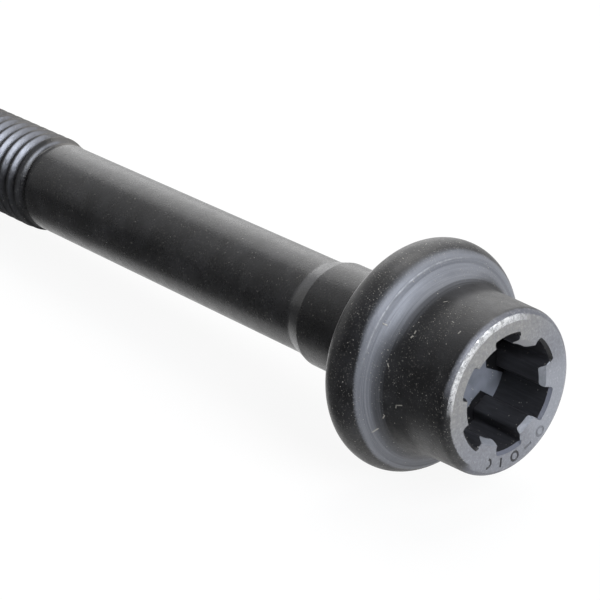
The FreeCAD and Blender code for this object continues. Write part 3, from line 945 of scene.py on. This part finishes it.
def flake(s, x, angle, length, width, slant):
    """One flake or thread of dirt: its place along and about the axis, its size and its slant to it."""
    across, outwards = math.cos(math.radians(angle)), math.sin(math.radians(angle))
    arc = s.subtract(s.multiply(s.y, across), s.multiply(s.z, outwards))
    ahead = s.subtract(s.x, x)
    cosine, sine = math.cos(math.radians(slant)), math.sin(math.radians(slant))
    along = s.math("ABSOLUTE", s.add(s.multiply(ahead, cosine), s.multiply(arc, sine)))
    beside = s.math("ABSOLUTE", s.subtract(s.multiply(arc, cosine), s.multiply(ahead, sine)))
    ends = s.rise(along, *(length * share for share in FLAKE_ENDS))
    sides = s.rise(beside, *(width * share for share in FLAKE_SIDES))
    return s.product(ends, sides, s.side(angle, FLAKE_NEAR_SIDE))


# Dust: spacing, size and share of the cells
SPECKS = (0.50, 0.14, 0.45)
LINT_ALONG = (0.45, 0.15, 0.12)
LINT_ACROSS = (0.45, 0.14, 0.12)
FINE_SPECKS = (0.3, 0.24, 0.35)
FINE_SPECKS_SHARE = 0.8
POWDERED = (0.56, 0.74)
POWDER_SHARE = 0.36
# Where it lies thick, and where a thin film of it lies, which also paints the light bounced from the floor
DRIFTED = (0.34, 0.60)
DUSTY_FLANGE = (-0.2, 3.4, 0.4)
DUSTY_HEAD = (-6.0, 1.0)
SHANK_DUST_SHARE = 0.45
FACE_DUST_LOSS = 0.7
BOUNCE_FILM_SIDE = (0.78, 1.0)
FILM_FROM = (-1.0, 1.0)
FILM_CLOUDS = (0.30, 0.70)
BOUNCE_FILM_SHARES = (0.02, 0.10)


def dust_and_bounce_mask(s, face):
    """Specks, lint and powder, thickest on the head's side, with a thin film at its lower left that also
    paints the light bounced from the floor.
    """
    specks = s.highest(s.specks(s.own, *SPECKS),
                       s.specks(s.scaled(LINT_ALONG_STRETCH), *LINT_ALONG),
                       s.specks(s.scaled(LINT_ACROSS_STRETCH), *LINT_ACROSS))
    fine = s.multiply(s.specks(s.scaled(FINE_STRETCH), *FINE_SPECKS), FINE_SPECKS_SHARE)
    fine = s.highest(fine, s.multiply(s.clouds(POWDER, POWDERED), POWDER_SHARE))
    fine = s.multiply(fine, s.highest(s.clouds(DRIFTS, DRIFTED), s.between(s.x, *DUSTY_FLANGE)))
    dust_and_bounce = s.multiply(s.highest(specks, fine), s.blend(s.rise(s.x, *DUSTY_HEAD), SHANK_DUST_SHARE, 1.0))
    # the lower left's film: some dust, and painted light bounced from the floor
    bounce_film = s.product(s.side(BOTTOM_LEFT, BOUNCE_FILM_SIDE), s.rise(s.x, *FILM_FROM),
                     s.blend(s.clouds(FILM, FILM_CLOUDS), *BOUNCE_FILM_SHARES))
    dust_and_bounce = s.multiply(s.highest(dust_and_bounce, bounce_film), s.inverse(s.multiply(face, FACE_DUST_LOSS)))
    return s.highest(dust_and_bounce, *(flake(s, *spot) for spot in FLAKES))


# Tints of the end face, and their shares
MOTTLED = (0.3, 0.75)
MOTTLES_SHARE = 0.7
WARM_BAND = (-0.2, 0.8)
PALE_BAND = (0.70, 0.95)
PALE_SHARE = 0.8
RIM_SHADE = (7.15, 7.32)
RIM_SHADE_SHARE = 0.85
PITTED = (0.46, 0.80)
PITS_SHARE = 0.20


def face_colour(s):
    """The end face: warm at the upper left and pale at the right, mottled and pitted, with a darker rim."""
    tinted = s.mix(s.side(UPPER_LEFT, WARM_BAND), FACE_COOL, FACE_WARM)
    tinted = s.mix(s.multiply(s.clouds(MOTTLES, MOTTLED), MOTTLES_SHARE), tinted, FACE_DARK)
    tinted = s.mix(s.multiply(s.side(PALE_SIDE, PALE_BAND), PALE_SHARE), tinted, FACE_PALE)
    tinted = s.mix(s.multiply(s.rise(s.radius, *RIM_SHADE), RIM_SHADE_SHARE), tinted, RIM_DARK)
    return s.mix(s.multiply(s.clouds(PITS, PITTED), PITS_SHARE), tinted, BARE_STEEL_AND_HIGHLIGHT)


# Marks: their depth in the face and the radii that they lie between
MARK_DEPTH = (HEAD_HEIGHT - 0.015, HEAD_HEIGHT - 0.05)
MARK_RADII = (5.72, 6.96, 0.01)
MARK_DARK_BAND = (0.45, 0.90)
MARK_SHARES = (0.40, 1.0)
# Black coating: how it is worn and oiled, with the shares of the thread top's painted dusty sheen and of the
# dust with its painted bounce light, and the cone's grey tint
WORN_PATCHES = (0.35, 0.75)
OILED = (0.55, 0.8)
OIL_SHARE = 0.3
COVE_RINGS = (0.34, 0.70)
THREAD_DUSTY_SHEEN_SHARE = 0.8
DUST_AND_BOUNCE_SHARE = 0.65
CONE_SOFTNESS = 0.04
CONE_SIDE = (0.97, 0.80)
CONE_SHARE = 0.14
# Sheen: where the head's rougher coating starts, its dull corner above the cove, and the brighter cone
HEAD_COATING = (-1.0, 3.5)
SHEEN_PATCHES = (0.35, 0.65)
SHEEN_CHANGE = 0.08
CONE_SHEEN = 0.08
DULL_CORNER = (4.0, 7.3, 0.9)
DULL_SIDE = (-0.2, 0.3)
# Heights of the bumps, and the grain's share on the face
GRAIN_BUMP = 0.02
GRAIN_ON_FACE = 0.45
RING_BUMP = 0.05
DUST_BUMP = 0.03
RIM_BUMP = 0.05


def outside_material(axes):
    """Black phosphate, rubbed grey and bare in places, with a little oil and dust, and with painted
    highlights, sheen, shade and bounce light in places.
    """
    s = Shading("phosphated_steel", axes)
    grain = s.noise(s.own, *GRAIN)
    rings = s.noise(s.circling(*RINGS_RUN), *RINGS)
    ragged = s.noise(s.own, *RAGGED)
    cove = cove_mask(s, rings, ragged)
    flank, crest, greyed = thread_masks(s)
    bare_and_highlit, rim = bare_and_highlight_masks(s, ragged)
    face = face_mask(s, ragged)
    dust_and_bounce = dust_and_bounce_mask(s, face)
    marks = s.product(s.rise(s.x, *MARK_DEPTH), s.between(s.radius, *MARK_RADII), face)
    # the marks are darker at the lower left
    darker_marks = s.multiply(marks, s.blend(s.side(MARKS_DARK_SIDE, MARK_DARK_BAND), *MARK_SHARES))
    on_cone = s.between(s.x, -NECK_LENGTH - CONE_LENGTH, -NECK_LENGTH, CONE_SOFTNESS)
    cone = s.multiply(on_cone, s.side(FACING, CONE_SIDE))

    colour = s.mix(s.clouds(PATCHES, WORN_PATCHES), BLACK, BLACK_WORN)
    colour = s.mix(s.multiply(s.rise(grain, *OILED), OIL_SHARE), colour, OIL_BROWN)
    colour = s.mix(s.multiply(cone, CONE_SHARE), colour, COVE_GREY)
    colour = s.mix(cove, colour, s.mix(s.rise(rings, *COVE_RINGS), COVE_GREY, COVE_DARK))
    # painted sheen with a dusty tinge on the thread's top
    colour = s.mix(s.multiply(greyed, THREAD_DUSTY_SHEEN_SHARE), colour, THREAD_DUSTY_SHEEN)
    # the flanks' grey is wear, painted brighter as a highlight on the upper left side
    colour = s.mix(flank, colour, FLANK_GREY)
    colour = s.mix(face, colour, face_colour(s))
    colour = s.mix(darker_marks, colour, MARK_SHADE)
    # bare steel, and painted highlights along the crease and the rim at the upper left
    colour = s.mix(bare_and_highlit, colour, BARE_STEEL_AND_HIGHLIGHT)
    # dust, and painted bounce light from the floor at the head's lower left
    colour = s.mix(s.multiply(dust_and_bounce, DUST_AND_BOUNCE_SHARE), colour, DUST_AND_BOUNCE)

    metal = s.highest(s.multiply(cove, COVE_METAL), s.multiply(flank, FLANK_METAL),
                      s.multiply(s.subtract(face, marks), FACE_METAL), bare_and_highlit)
    rough = s.blend(s.rise(s.x, *HEAD_COATING), BLACK_ROUGHNESS, HEAD_ROUGHNESS)
    rough = s.add(rough, s.multiply(s.clouds(SHEEN, SHEEN_PATCHES), SHEEN_CHANGE))
    rough = s.subtract(rough, s.multiply(on_cone, CONE_SHEEN))
    corner = s.multiply(s.between(s.x, *DULL_CORNER), s.side(UPPER_LEFT, DULL_SIDE))
    for mask, value in ((flank, FLANK_ROUGHNESS), (crest, CREST_ROUGHNESS), (corner, CORNER_ROUGHNESS),
                        (cove, COVE_ROUGHNESS), (face, FACE_ROUGHNESS), (bare_and_highlit, BARE_ROUGHNESS)):
        rough = s.blend(mask, rough, value)

    normal = s.bump(s.multiply(grain, s.blend(face, 1.0, GRAIN_ON_FACE)), GRAIN_BUMP)
    normal = s.bump(s.multiply(rings, cove), RING_BUMP, normal)
    normal = s.bump(dust_and_bounce, DUST_BUMP, normal)
    normal = s.bump(rim, RIM_BUMP, normal)
    return s.surface(colour, rough, BLACK_SPECULAR, metal, normal)


# Painted shade with oil on the socket's floor: how near the axis the feet of the teeth reach, and how far
# beside a flank
OIL_AND_SHADE_FOOT = (3.40, 3.50)
OIL_AND_SHADE_BESIDE = (-0.66, -0.74)
# The dark pool in the lowest slot, and the dark patch beside one tooth, both painted shade with oil
POOL_TOOTH = 144.0
POOL_SLOT = 175.0
POOL_SLOT_SIDE = (0.81, 0.86)
OIL_AND_SHADE_TOOTH = 90.0
OIL_AND_SHADE_TOOTH_FOOT = (3.00, 3.10)
OIL_AND_SHADE_TOOTH_ACROSS = 30.0
OIL_AND_SHADE_TOOTH_WIDTH = (0.90, 1.00)


def oil_and_shade_edge(s):
    """Painted shade with oil round the feet of the teeth, as a mask: each tooth's outline drawn further
    inwards.
    """
    slots = s.multiply(s.math("ARCTAN2", s.sine, s.cosine), SLOT_COUNT / (2 * math.pi))
    off_tooth = s.multiply(s.subtract(s.math("FRACT", slots), 0.5), 2 * math.pi / SLOT_COUNT)
    inwards = s.multiply(s.radius, s.math("COSINE", off_tooth))
    across = s.math("ABSOLUTE", s.multiply(s.radius, s.math("SINE", off_tooth)))
    flank_slope = math.tan(math.radians(180 / SLOT_COUNT - SLOT_FLANK_ANGLE))
    beside = s.subtract(across, s.multiply(inwards, flank_slope))
    feet = s.multiply(s.rise(inwards, *OIL_AND_SHADE_FOOT), s.rise(beside, *OIL_AND_SHADE_BESIDE))
    pool = s.multiply(s.rise(s.reach(POOL_TOOTH), *OIL_AND_SHADE_FOOT), s.side(POOL_SLOT, POOL_SLOT_SIDE))
    beside_tooth = s.multiply(s.rise(s.reach(OIL_AND_SHADE_TOOTH_ACROSS), *OIL_AND_SHADE_TOOTH_WIDTH),
                              s.rise(s.reach(OIL_AND_SHADE_TOOTH), *OIL_AND_SHADE_TOOTH_FOOT))
    return s.highest(feet, pool, beside_tooth)


# Socket: its tones, its floor's edge and its crumbs
WALL_STREAKS = (0.35, 0.75)
SOCKET_CLOUDED = (0.3, 0.7)
SOCKET_FLOOR_EDGE = (0.06, 0.02)
LARGE_CRUMBS = (0.45, 0.2, 0.35)
SMALL_CRUMBS = (0.3, 0.25, 0.3)
CRUMBS_PATCHY = (0.44, 0.58)
CRUMBS_SHARE = 0.8
# The slots' mouths, where crumbs hang thickest: heights and radii
MOUTH_HEIGHT = (HEAD_HEIGHT - 1.0, HEAD_HEIGHT - 0.3)
MOUTH_RADIUS = (4.9, 5.2)
SOCKET_BUMP = 0.008


def socket_material(axes):
    """The punched walls, black with oil, over a smooth grey floor with painted shade and oil at the feet of
    the teeth.
    """
    s = Shading("socket", axes)
    streaks = s.noise(s.scaled(STREAKS_STRETCH), *STREAKS)
    wall = s.mix(s.rise(streaks, *WALL_STREAKS), WALL_DARK, WALL_LIGHT)
    floor_tone = s.mix(s.clouds(SOCKET_CLOUDS, SOCKET_CLOUDED), SOCKET_FLOOR_DARK, SOCKET_FLOOR_LIGHT)
    on_floor = s.rise(s.subtract(s.x, HEAD_HEIGHT - SOCKET_DEPTH), *SOCKET_FLOOR_EDGE)
    oil_and_shade = oil_and_shade_edge(s)
    crumbs = s.highest(s.specks(s.own, *LARGE_CRUMBS), s.specks(s.scaled(CRUMBS_STRETCH), *SMALL_CRUMBS))
    in_mouth = s.multiply(s.rise(s.x, *MOUTH_HEIGHT), s.rise(s.radius, *MOUTH_RADIUS))
    crumbs = s.multiply(crumbs, s.highest(s.clouds(CRUMB_PATCHES, CRUMBS_PATCHY), in_mouth))
    # the floor is painted black for the shade and oil at the feet of the teeth
    colour = s.mix(on_floor, wall, s.mix(oil_and_shade, floor_tone, BLACK))
    colour = s.mix(s.multiply(crumbs, CRUMBS_SHARE), colour, DUST_AND_BOUNCE)
    clear_floor = s.multiply(on_floor, s.inverse(oil_and_shade))
    rough = s.blend(clear_floor, WALL_ROUGHNESS, SOCKET_FLOOR_ROUGHNESS)
    normal = s.bump(s.highest(streaks, crumbs), SOCKET_BUMP)
    return s.surface(colour, rough, SOCKET_SPECULAR, normal=normal)


# Lead-in: where the cone on the teeth ends, and how its bright, black and bevelled sides end; the bevels at
# the lower right are a painted highlight
TEETH_RADIUS = (5.35, 5.25)
TEETH_BRIGHT_SIDE = (0.85, 0.95)
TEETH_WORN_SIDE = (0.80, 0.70)
BEVEL_HIGHLIGHT_SIDE = (0.45, 0.75)
LEAD_IN_BUMP = 0.02


def lead_in_material(axes):
    """The cone on the teeth, rubbed by the driving bit but for the left, and the slots' dark bevels, with a
    painted highlight on those at the lower right.
    """
    s = Shading("lead_in", axes)
    mottled = s.clouds(MOTTLES, MOTTLED)
    greyed = s.mix(mottled, LEAD_IN_LIGHT, LEAD_IN_DARK)
    greyed = s.mix(s.side(TOP_TOOTH, TEETH_BRIGHT_SIDE), greyed, LEAD_IN_BRIGHT)
    on_teeth = s.multiply(s.rise(s.radius, *TEETH_RADIUS), s.side(LEFT, TEETH_WORN_SIDE))
    # painted highlight on the bevels at the lower right
    bevel = s.mix(s.side(LOWER_RIGHT, BEVEL_HIGHLIGHT_SIDE), BEVEL_DARK, BEVEL_HIGHLIGHT)
    colour = s.mix(on_teeth, bevel, greyed)
    metal = s.multiply(on_teeth, LEAD_IN_METAL)
    return s.surface(colour, LEAD_IN_ROUGHNESS, SOCKET_SPECULAR, metal, s.bump(mottled, LEAD_IN_BUMP))


# Floor, with its places in millimetres
FLOOR_HALF = 1500.0
FLOOR_COLOUR = (0.88, 0.88, 0.88)
FLOOR_ROUGHNESS = 0.9
FLOOR_SPECULAR = 0.1
FLOOR_WHITENING = 0.92
# Mirror-like rays see the floor white behind the bolt and dim on the camera's side, past a slanted line
FLOOR_DIM_BAND = (-11.5, -5.5)
FLOOR_DIM_SLANT = 0.16
FLOOR_DIM_PIVOT = -33.0
# The studio's tone about the bolt is likewise white behind it and dim on the camera's side
WORLD_LIGHT = 0.3
DIM_SIDE = (0.45, -0.89, 0.0)
DIM_BAND = (-0.15, 0.45)
DIM_LIGHT = 0.12
# A big soft lamp behind and to the left, one overhead and a cooler one on the head's side:
# (name, place, aim, size, power, colour), with places and sizes in metres and the power in watts
LAMPS = (
    ("behind", (-0.45, 0.42, 0.36), (-0.03, 0, 0), 0.8, 2.4, (1.0, 1.0, 1.0)),
    ("above", (-0.1, 0.2, 0.6), (-0.03, 0, 0), 0.4, 2.4, (1.0, 0.99, 0.97)),
    ("head_side", (0.50, -0.03, 0.36), (0, 0, 0), 0.45, 4.5, (0.90, 0.94, 1.0)),
)


def make_floor():
    """A plain pale floor. The camera and mirror-like rays see it whitened, over the object's shadow."""
    half, lowest = FLOOR_HALF, cad_box[0].z / MM
    corners = [(-half, -half, lowest), (half, -half, lowest), (half, half, lowest), (-half, half, lowest)]
    floor = add_mesh("floor", Matrix(), np.array(corners), [(0, 1, 2, 3)])
    s = Shading("floor", Matrix())
    floor.data.materials.append(s.surface((*FLOOR_COLOUR, 1), FLOOR_ROUGHNESS, FLOOR_SPECULAR))
    rays = s.node("ShaderNodeLightPath").outputs
    beside = s.add(s.y, s.multiply(s.subtract(s.x, FLOOR_DIM_PIVOT), FLOOR_DIM_SLANT))
    tone = s.blend(s.rise(beside, *FLOOR_DIM_BAND), DIM_LIGHT, 1.0)
    seen = s.highest(rays["Is Camera Ray"], rays["Is Glossy Ray"], rays["Is Transmission Ray"])
    white = s.node("ShaderNodeEmission", Strength=s.highest(rays["Is Camera Ray"], tone))
    mixed = s.tree.nodes.new("ShaderNodeMixShader")
    s.feed(mixed.inputs[0], s.multiply(seen, FLOOR_WHITENING))
    s.feed(mixed.inputs[1], s.shader.outputs[0])
    s.feed(mixed.inputs[2], white.outputs[0])
    s.feed(s.tree.nodes["Material Output"].inputs["Surface"], mixed.outputs[0])


def make_world():
    """Soft light from all round, at full strength where the camera and mirror-like rays see it."""
    world = bpy.data.worlds.new("studio")
    world.use_nodes = True
    n = Nodes(world.node_tree)
    towards = n.node("ShaderNodeVectorMath")
    towards.operation = "DOT_PRODUCT"
    n.feed(towards.inputs[0], n.node("ShaderNodeTexCoord").outputs["Generated"])
    n.feed(towards.inputs[1], DIM_SIDE)
    rays = n.node("ShaderNodeLightPath").outputs
    seen = n.highest(rays["Is Camera Ray"], rays["Is Glossy Ray"], rays["Is Transmission Ray"])
    background = n.tree.nodes["Background"].inputs
    n.feed(background["Color"], n.blend(n.rise(towards.outputs["Value"], *DIM_BAND), 1.0, DIM_LIGHT))
    n.feed(background["Strength"], n.blend(seen, WORLD_LIGHT, 1.0))
    bpy.context.scene.world = world


def add_lamp(name, place, aim, size, power, colour):
    """A round soft lamp."""
    data = bpy.data.lights.new(name, "AREA")
    data.shape = "DISK"
    data.size = size
    data.energy = power
    data.color = colour
    lamp = add_object(name, data)
    lamp.location = Vector(place)
    lamp.rotation_euler = (Vector(aim) - Vector(place)).to_track_quat("-Z", "Y").to_euler()


make_bolt(rest_axes())
make_floor()
make_camera()
make_world()
for lamp in LAMPS:
    add_lamp(*lamp)
bpy.context.scene.view_settings.view_transform = "Standard"
